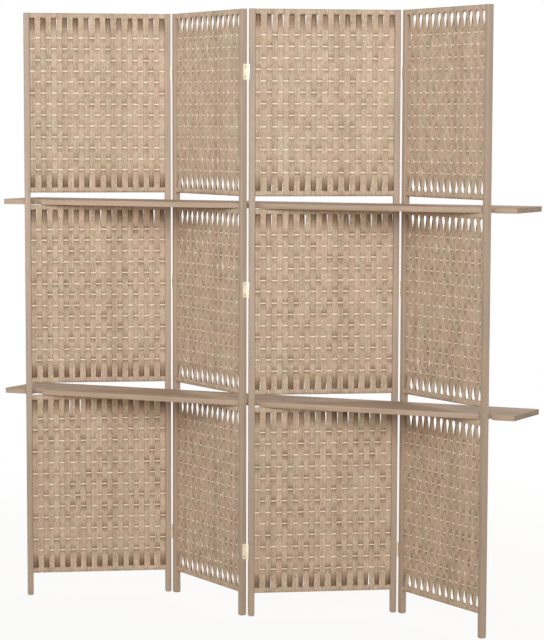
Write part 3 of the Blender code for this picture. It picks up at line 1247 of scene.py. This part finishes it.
@dataclass
class ButtHinge:
    """One hinge: two leaves with rolled knuckles, a pin and four screws."""

    sizes: HingeSizes
    side: Side

    def _seat(self, fixed: bool) -> tuple[float, int]:
        """A leaf's distance from its stile, and the side of the pin it lies on."""
        return (0.0, 1) if fixed else (self.sizes.seat_gap, -1)

    def _across(self, fixed: bool) -> float:
        """How far the middle of a leaf's plate lies from the pin."""
        size = self.sizes
        seat, direction = self._seat(fixed)
        return direction * (seat + size.thickness / 2 - size.gap / 2)

    def _plate(self, fixed: bool) -> BMesh:
        """A leaf's plate about the pin, without its knuckles."""
        size = self.sizes
        start = size.barrel_radius + size.barrel_play
        width = size.width - start
        box = (size.thickness, width, size.height)
        bm = rounded_box(box, size.plate_round, size.plate_steps, 0)
        centre = (self._across(fixed), -self.side.value * (start + width / 2), 0)
        bmesh.ops.translate(bm, vec=centre, verts=bm.verts)
        return bm

    def _add_knuckle(self, bm: BMesh, fixed: bool, low: float, high: float) -> None:
        """Add one rolled knuckle with its neck to the plate.

        Args:
            bm: Mesh to add to.
            fixed: True for the leaf with two outer knuckles and the pin.
            low: Bottom of the knuckle.
            high: Top of the knuckle.
        """
        size = self.sizes
        middle = (low + high) / 2
        place = Matrix.Translation((0, 0, middle))
        barrel = add_bar(bm, size.barrel_sides, size.barrel_radius, high - low, place)
        rims = {
            edge
            for vert in barrel
            for edge in vert.link_edges
            if abs(edge.verts[0].co.z - edge.verts[1].co.z) < SAME_PLACE
        }
        round_edges(bm, list(rims), size.barrel_ease, 1)
        reach = size.barrel_radius + size.neck
        neck = bmesh.ops.create_cube(bm, size=1.0)["verts"]
        bmesh.ops.scale(bm, vec=(size.thickness, reach, high - low), verts=neck)
        centre = (self._across(fixed), -self.side.value * reach / 2, middle)
        bmesh.ops.translate(bm, vec=centre, verts=neck)

    def leaf(self, fixed: bool) -> BMesh:
        """Build one leaf about the pin's axis.

        Args:
            fixed: True for the leaf with two outer knuckles and the pin.

        Returns:
            A bmesh of the leaf.
        """
        size = self.sizes
        bm = self._plate(fixed)
        half, inner = size.height / 2, size.knuckle / 2
        if not fixed:
            self._add_knuckle(bm, fixed, -inner, inner)
            return bm
        self._add_knuckle(bm, fixed, -half, -inner - size.knuckle_gap)
        self._add_knuckle(bm, fixed, inner + size.knuckle_gap, half)
        length = size.height + size.pin_excess
        add_bar(bm, size.pin_sides, size.pin_radius, length, Matrix.Identity(4))
        return bm

    def _screw_head(self) -> Mesh:
        """One slotted screw head about its own middle, which faces up."""
        size = self.sizes
        head = bmesh.new()
        bmesh.ops.create_uvsphere(
            head,
            u_segments=size.screw_sides,
            v_segments=size.screw_rings,
            radius=size.screw_radius,
        )
        bmesh.ops.scale(head, vec=(1, 1, size.dome_share), verts=head.verts)
        for edge in (-size.slot_half, size.slot_half):
            bmesh.ops.bisect_plane(
                head, geom=everything(head), plane_co=(edge, 0, 0), plane_no=(1, 0, 0)
            )
        for vert in head.verts:
            if abs(vert.co.x) < size.slot_bed_half and vert.co.z > 0:
                vert.co.z *= size.slot_bed_share
        mesh = bpy.data.meshes.new("screw_head")
        head.to_mesh(mesh)
        head.free()
        return mesh

    def screws(self, fixed: bool) -> BMesh:
        """Build the two slotted screws of one leaf about the pin's axis."""
        size = self.sizes
        seat, direction = self._seat(fixed)
        across = direction * (seat + size.thickness - size.gap / 2)
        reach = (size.barrel_radius + size.width) * size.screw_place_share
        turn = Matrix.Rotation(direction * math.pi / 2, 4, "Y")
        head = self._screw_head()
        bm = bmesh.new()
        for sign in (-1, 1):
            spin = Matrix.Rotation(size.screw_turn + sign, 4, "Z")
            level = sign * size.screw_spacing / 2
            move = Matrix.Translation((across, -self.side.value * reach, level))
            before = len(bm.verts)
            bm.from_mesh(head)
            added = list(bm.verts)[before:]
            bmesh.ops.transform(bm, matrix=move @ turn @ spin, verts=added)
        bpy.data.meshes.remove(head)
        return bm


@dataclass
class ShelfBoard:
    """A long board with three notches in its front edge."""

    node: str
    sizes: ShelfSizes

    def notches(self, low: Vector, high: Vector) -> list[Point]:
        """Left and right side of each notch.

        Args:
            low: Lowest corner of the board's box.
            high: Highest corner of the board's box.

        Returns:
            Place of both sides along X, for each notch from the left.
        """
        size = self.sizes
        places = (
            (low.x + size.left_inset, size.end_notch),
            ((low.x + high.x) / 2 + size.middle_offset, size.middle_notch),
            (high.x - size.right_inset, size.end_notch),
        )
        return [(middle - width / 2, middle + width / 2) for middle, width in places]

    def _plan(self, low: Vector, high: Vector) -> BMesh:
        """Cut the notches out of a flat plate at the board's underside."""
        inner = low.y + self.sizes.notch_depth
        notches = self.notches(low, high)
        bm = bmesh.new()
        bmesh.ops.create_grid(bm, x_segments=1, y_segments=1, size=0.5)
        bmesh.ops.scale(bm, vec=(high.x - low.x, high.y - low.y, 1), verts=bm.verts)
        centre = ((low.x + high.x) / 2, (low.y + high.y) / 2, low.z)
        bmesh.ops.translate(bm, vec=centre, verts=bm.verts)
        cuts = [((0, inner, 0), (0, 1, 0))]
        cuts += [((x, 0, 0), (1, 0, 0)) for notch in notches for x in notch]
        for place, way in cuts:
            bmesh.ops.bisect_plane(
                bm, geom=everything(bm), plane_co=place, plane_no=way
            )
        waste = []
        for face in bm.faces:
            middle = face.calc_center_median()
            in_notch = any(left < middle.x < right for left, right in notches)
            if middle.y < inner and in_notch:
                waste.append(face)
        bmesh.ops.delete(bm, geom=waste, context="FACES")
        bmesh.ops.dissolve_limit(
            bm, angle_limit=FLAT_ANGLE, verts=bm.verts, edges=bm.edges
        )
        return bm

    def mesh(self) -> BMesh:
        """Raise the board from its plan and ease its edges."""
        low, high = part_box(self.node)
        bm = self._plan(low, high)
        raised = bmesh.ops.extrude_face_region(bm, geom=list(bm.faces))["geom"]
        upper = [item for item in raised if isinstance(item, BMVert)]
        bmesh.ops.translate(bm, vec=(0, 0, high.z - low.z), verts=upper)
        bmesh.ops.recalc_face_normals(bm, faces=bm.faces)
        corners = [edge for edge in bm.edges if edge.calc_face_angle(0.0) > SHARP_ANGLE]
        round_edges(bm, corners, self.sizes.ease, self.sizes.steps)
        return bm


@dataclass(frozen=True)
class LampPlan:
    """Where one square soft light hangs, what it faces and how it shines."""

    name: str
    place: Place
    aim: Place
    size: float
    power: float
    colour: Colour = WHITE
    spread: float = 180.0


LAMPS = (
    LampPlan(
        "key", (3.6, -7.2, 3.3), (0.0, 0.0, 2.6), 4.0, 94.0, (0.97, 0.99, 1.04), 66.0
    ),
    LampPlan("fill", (-2.2, -1.9, 2.0), (0.0, 0.0, 1.6), 1.4, 22.0),
    LampPlan("low", (1.0, -3.0, 0.3), (0.0, 0.0, 0.3), 1.8, 6.0, (1.0, 0.76, 0.52)),
    LampPlan("back", (0.6, 4.6, 3.0), (0.0, 0.0, 1.0), 2.6, 150.0),
)


@dataclass(frozen=True)
class Studio:
    """The camera, the lamps, the floor and the white surroundings."""

    camera_place: Place = (3.41243, -6.95334, 1.4729)
    yaw: float = math.radians(26.148)
    pitch: float = math.radians(6.51)
    roll: float = math.radians(0.15)
    focal_pixels: float = 2583.5
    centre_pixels: Point = (263.45, 416.11)
    frame_pixels: Point = (544.0, 640.0)
    sensor: float = 36.0
    sight: float = 100.0
    floor_reach: float = 14.0
    floor_colour: Colour = (0.74, 0.64, 0.54)
    floor_roughness: float = 0.9
    glow_distances: Point = (1.2, 3.6)
    glow_near: float = 0.92
    glow_gain: float = 0.08
    world_light: float = 0.25
    world_gain: float = 0.75

    def camera(self) -> None:
        """Place the camera that the photograph was taken with."""
        forward = Vector(
            (
                -math.sin(self.yaw) * math.cos(self.pitch),
                math.cos(self.yaw) * math.cos(self.pitch),
                -math.sin(self.pitch),
            )
        )
        right = Vector((math.cos(self.yaw), math.sin(self.yaw), 0.0))
        up = right.cross(forward)
        cosine, sine = math.cos(self.roll), math.sin(self.roll)
        across = cosine * right + sine * up
        upward = -sine * right + cosine * up
        data = bpy.data.cameras.new("photo_camera")
        data.sensor_fit = "HORIZONTAL"
        data.sensor_width = self.sensor
        width, height = self.frame_pixels
        data.lens = data.sensor_width * self.focal_pixels / width
        data.shift_x = (width / 2 - self.centre_pixels[0]) / width
        data.shift_y = (self.centre_pixels[1] - height / 2) / width
        data.clip_end = self.sight
        camera = bpy.data.objects.new("photo_camera", data)
        bpy.context.scene.collection.objects.link(camera)
        turn = Matrix((across, upward, -forward)).transposed()
        camera.matrix_world = Matrix.Translation(self.camera_place) @ turn.to_4x4()
        bpy.context.scene.camera = camera

    def hang(self, plan: LampPlan) -> None:
        """Hang one square soft light."""
        data = bpy.data.lights.new(plan.name, "AREA")
        data.size = plan.size
        data.energy = plan.power
        data.color = plan.colour
        data.spread = math.radians(plan.spread)
        lamp = bpy.data.objects.new(plan.name, data)
        bpy.context.scene.collection.objects.link(lamp)
        lamp.location = plan.place
        way = Vector(plan.aim) - Vector(plan.place)
        lamp.rotation_euler = way.to_track_quat("-Z", "Y").to_euler()

    def _seen(self, graph: Graph, *kinds: str) -> NodeSocket:
        """A mask of 1 for rays of the given kinds, the camera's among them."""
        rays = graph.node("ShaderNodeLightPath").outputs
        mask = rays["Is Camera Ray"]
        for kind in kinds:
            mask = graph.value("MAXIMUM", mask, rays[kind])
        return mask

    def _floor_paper(self) -> Material:
        """Pale paper that glows white where the camera sees it."""
        material = bpy.data.materials.new("floor_paper")
        material.use_nodes = True
        graph = Graph(material.node_tree)
        shader = material.node_tree.nodes["Principled BSDF"]
        graph.feed(shader.inputs["Base Color"], self.floor_colour)
        graph.feed(shader.inputs["Roughness"], self.floor_roughness)
        glow = graph.node("ShaderNodeEmission")
        glow.inputs["Strength"].default_value = 1.0
        seen = self._seen(graph, "Is Glossy Ray")
        reach = graph.node("ShaderNodeVectorMath", operation="LENGTH")
        graph.join(graph.node("ShaderNodeTexCoord").outputs["Object"], reach.inputs[0])
        far = graph.spread(reach.outputs["Value"], self.glow_distances)
        gain = graph.value("MULTIPLY", far, self.glow_gain)
        share = graph.value("ADD", gain, self.glow_near)
        mix = graph.node("ShaderNodeMixShader")
        graph.join(graph.value("MULTIPLY", seen, share), mix.inputs[0])
        graph.join(shader.outputs[0], mix.inputs[1])
        graph.join(glow.outputs[0], mix.inputs[2])
        nodes = material.node_tree.nodes
        output = next(node for node in nodes if node.type == "OUTPUT_MATERIAL")
        graph.join(mix.outputs[0], output.inputs["Surface"])
        return material

    def floor(self) -> None:
        """Lay a wide floor of pale paper."""
        bm = bmesh.new()
        bmesh.ops.create_grid(bm, x_segments=1, y_segments=1, size=self.floor_reach)
        mesh = bpy.data.meshes.new("floor")
        bm.to_mesh(mesh)
        bm.free()
        mesh.materials.append(self._floor_paper())
        floor = bpy.data.objects.new("floor", mesh)
        bpy.context.scene.collection.objects.link(floor)

    def surroundings(self) -> None:
        """Fill the world with soft light that looks white to the camera."""
        world = bpy.data.worlds.new("studio")
        bpy.context.scene.world = world
        world.use_nodes = True
        graph = Graph(world.node_tree)
        background = world.node_tree.nodes["Background"]
        seen = self._seen(graph, "Is Glossy Ray", "Is Transmission Ray")
        gain = graph.value("MULTIPLY", seen, self.world_gain)
        strength = graph.value("ADD", gain, self.world_light)
        graph.join(strength, background.inputs["Strength"])
        graph.feed(background.inputs["Color"], WHITE)

    def build(self) -> None:
        """Set up the whole studio."""
        self.camera()
        self.floor()
        self.surroundings()
        for plan in LAMPS:
            self.hang(plan)
        bpy.context.scene.view_settings.view_transform = "Standard"


class FoldingScreen:
    """The whole screen, built sub-assembly by sub-assembly."""

    def __init__(self) -> None:
        """Set the sizes and the finishes."""
        self.panel = PanelSizes()
        self.hinge = HingeSizes()
        self.weave = WeaveSizes()
        self.shades = WeaveShades()
        self.shelf = ShelfSizes()
        self.zigzag = Zigzag(self.panel, self.hinge)
        self.finishes = Finishes()

    def build_stiles(self) -> None:
        """Build the eight uprights."""
        for number, matrix in enumerate(self.zigzag.frames, 1):
            body = "panel_%d" % number
            for position, at_right in (("left", False), ("right", True)):
                node = "%s_%s_stile" % (body, position)
                bm = Stile(self.panel, matrix, at_right).mesh()
                paint = self.finishes.stile
                finish_piece(bm, node + "_painted", paint, body, [node])

    def _build_rails(self, stem: str, matrix: Matrix, base: float, top: float) -> None:
        """Build the two rails of one section.

        Args:
            stem: Name of the panel and the section.
            matrix: Place of the panel.
            base: Bottom of the section.
            top: Top of the section.
        """
        body = stem.rsplit("_", 1)[0]
        for position, level in (
            ("bottom", base),
            ("top", top - self.panel.rail_height),
        ):
            node = "%s_%s_rail" % (stem, position)
            bm = Rail(self.panel, matrix, level).mesh()
            core = self.finishes.rail
            finish_piece(bm, node + "_core", core, body, [node])

    def build_sections(self) -> None:
        """Build the rails and the woven infill of every section."""
        finishes = self.finishes
        for number, matrix in enumerate(self.zigzag.frames, 1):
            body = "panel_%d" % number
            for label, (base, top) in self.panel.sections().items():
                stem = "%s_%s" % (body, label)
                self._build_rails(stem, matrix, base, top)
                section = WovenSection(
                    self.panel, self.weave, self.shades, matrix, stem, base, top
                )
                finish_piece(
                    section.strips_mesh(),
                    stem + "_strips",
                    finishes.cord,
                    body,
                    [stem + "_weave"],
                    None,
                )
                rods = section.rods_mesh()
                finish_piece(rods, stem + "_rods", finishes.rod, body)

    def build_hinges(self) -> None:
        """Build the nine hinges with their screws."""
        for number, (pin, side) in enumerate(self.zigzag.pins, 1):
            hinge = ButtHinge(self.hinge, side)
            for place, height in self.hinge.places:
                for fixed in (True, False):
                    owner = number if fixed else number + 1
                    turn = self.zigzag.frames[owner - 1].to_3x3().to_4x4()
                    move = Matrix.Translation((pin.x, pin.y, height)) @ turn
                    stem = "hinge_%d%d_%s" % (number, number + 1, place)
                    kind = "fixed_leaf" if fixed else "leaf"
                    replaced = [] if fixed else [stem + "_leaf"]
                    for bm, word, finish, nodes in (
                        (hinge.leaf(fixed), "plated", self.finishes.brass, replaced),
                        (hinge.screws(fixed), "screws", self.finishes.screw, []),
                    ):
                        bmesh.ops.transform(bm, matrix=move, verts=bm.verts)
                        name = "%s_%s_%s" % (stem, kind, word)
                        body = "panel_%d" % owner
                        finish_piece(bm, name, finish, body, nodes)

    def build_shelves(self) -> None:
        """Build both boards."""
        for node in ("shelf_lower", "shelf_upper"):
            bm = ShelfBoard(node, self.shelf).mesh()
            paint = self.finishes.board
            finish_piece(bm, node + "_painted", paint, node, [node])

    def build(self) -> None:
        """Build everything."""
        self.build_stiles()
        self.build_sections()
        self.build_hinges()
        self.build_shelves()


def main() -> None:
    """Build the screen and the studio."""
    logging.basicConfig(level=logging.INFO, format="%(name)s: %(message)s")
    Studio().build()
    FoldingScreen().build()


if __name__ == "__main__":
    main()
